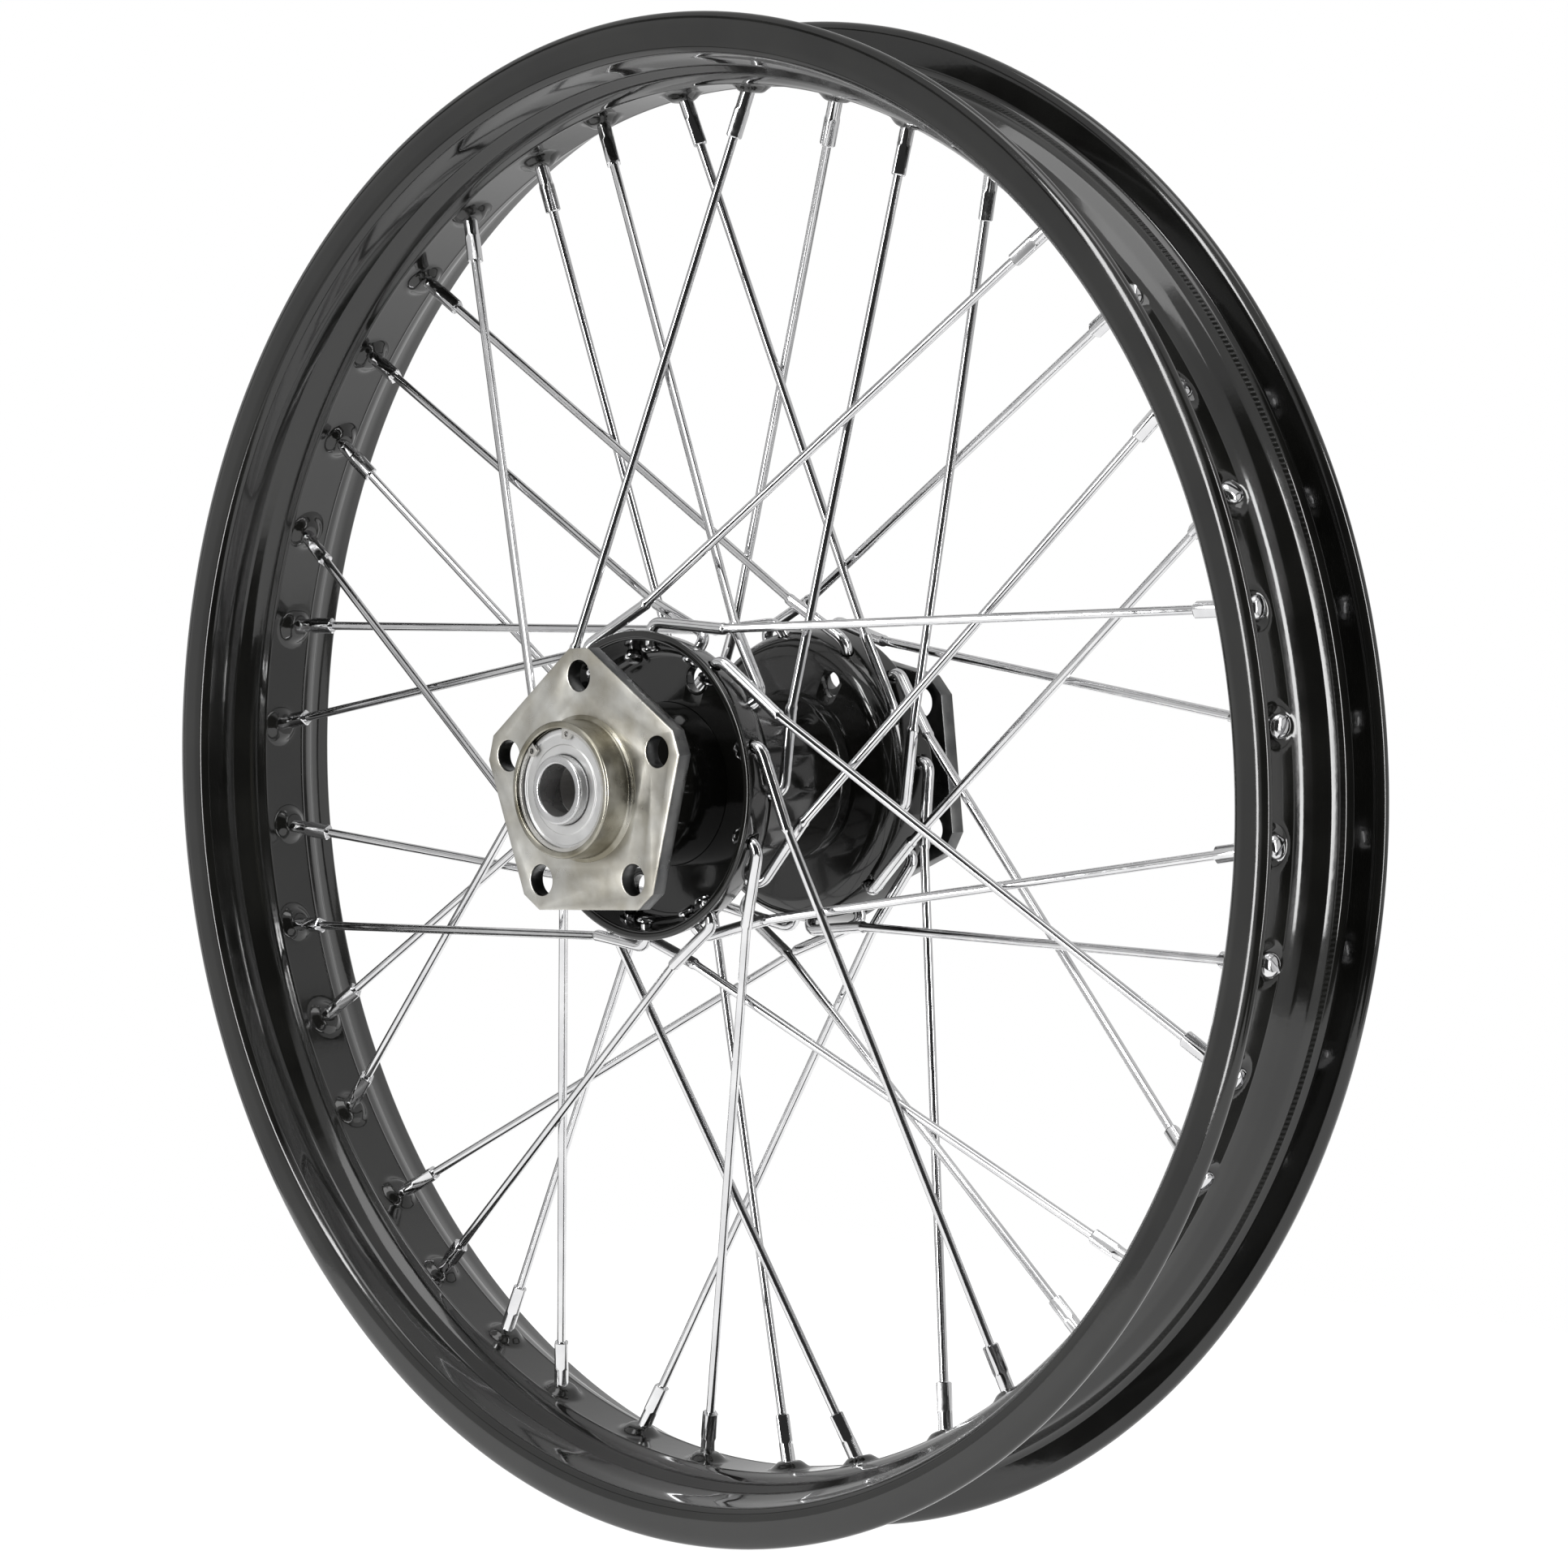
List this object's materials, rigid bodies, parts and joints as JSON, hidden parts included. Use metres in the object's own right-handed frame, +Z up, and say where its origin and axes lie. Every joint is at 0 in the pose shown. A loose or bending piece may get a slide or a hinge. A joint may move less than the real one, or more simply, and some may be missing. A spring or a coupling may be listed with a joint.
{
  "type": "laced wire wheel",
  "caption": "Black drop-centre rim laced with bright wire spokes to a flanged hub on tapered roller bearings, with a five-bolt disc face on each side",
  "frame": {"origin": "centre of the wheel, on the axle axis and in the rim's centre plane", "axes": "+X is forward, +Y is along the axle towards the right face, +Z is up"},
  "size_m": [0.5692, 0.182, 0.5692],
  "materials": {
    "rim_paint": "gloss black",
    "hub_paint": "gloss black",
    "bare_steel": "raw machined, slightly yellow",
    "bearing_steel": "ground",
    "seal_steel": "pressed sheet, plated",
    "ring_steel": "spring steel",
    "collar_steel": "turned",
    "spoke_chrome": "polished"
  },
  "bodies": {
    "axle_core": {"axle_spacer": "bearing_steel", "left_axle_collar": "collar_steel", "left_bearing_cone": "bearing_steel", "right_axle_collar": "collar_steel", "right_bearing_cone": "bearing_steel"},
    "wheel": {"rim": "rim_paint", "hub_barrel": "hub_paint", "left_spoke_flange": "hub_paint", "left_disc_flange": "bare_steel", "left_bearing_cup": "bearing_steel", "left_grease_seal": "seal_steel", "left_snap_ring": "ring_steel", "right_spoke_flange": "hub_paint", "right_disc_flange": "bare_steel", "right_bearing_cup": "bearing_steel", "right_grease_seal": "seal_steel", "right_snap_ring": "ring_steel", "spoke_01": "spoke_chrome", "spoke_02": "spoke_chrome", "spoke_03": "spoke_chrome", "spoke_04": "spoke_chrome", "spoke_05": "spoke_chrome", "spoke_06": "spoke_chrome", "spoke_07": "spoke_chrome", "spoke_08": "spoke_chrome", "spoke_09": "spoke_chrome", "spoke_10": "spoke_chrome", "spoke_11": "spoke_chrome", "spoke_12": "spoke_chrome", "spoke_13": "spoke_chrome", "spoke_14": "spoke_chrome", "spoke_15": "spoke_chrome", "spoke_16": "spoke_chrome", "spoke_17": "spoke_chrome", "spoke_18": "spoke_chrome", "spoke_19": "spoke_chrome", "spoke_20": "spoke_chrome", "spoke_21": "spoke_chrome", "spoke_22": "spoke_chrome", "spoke_23": "spoke_chrome", "spoke_24": "spoke_chrome", "spoke_25": "spoke_chrome", "spoke_26": "spoke_chrome", "spoke_27": "spoke_chrome", "spoke_28": "spoke_chrome", "spoke_29": "spoke_chrome", "spoke_30": "spoke_chrome", "spoke_31": "spoke_chrome", "spoke_32": "spoke_chrome", "spoke_33": "spoke_chrome", "spoke_34": "spoke_chrome", "spoke_35": "spoke_chrome", "spoke_36": "spoke_chrome", "spoke_37": "spoke_chrome", "spoke_38": "spoke_chrome", "spoke_39": "spoke_chrome", "spoke_40": "spoke_chrome"},
    "left_cage": {"left_roller_cage": "bearing_steel"},
    "right_cage": {"right_roller_cage": "bearing_steel"}
  },
  "joints": [
    {"name": "wheel_spin", "type": "hinge", "parent": "axle_core", "child": "wheel", "pos_m": [0, 0, 0], "axis": [0, 1, 0], "continuous": true},
    {"name": "left_cage_spin", "type": "hinge", "parent": "axle_core", "child": "left_cage", "pos_m": [0, -0.07, 0], "axis": [0, 1, 0], "continuous": true},
    {"name": "right_cage_spin", "type": "hinge", "parent": "axle_core", "child": "right_cage", "pos_m": [0, 0.07, 0], "axis": [0, 1, 0], "continuous": true}
  ],
  "couplings": [
    {"joint": "left_cage_spin", "follows": "wheel_spin", "ratio": 0.58},
    {"joint": "right_cage_spin", "follows": "wheel_spin", "ratio": 0.58}
  ]
}
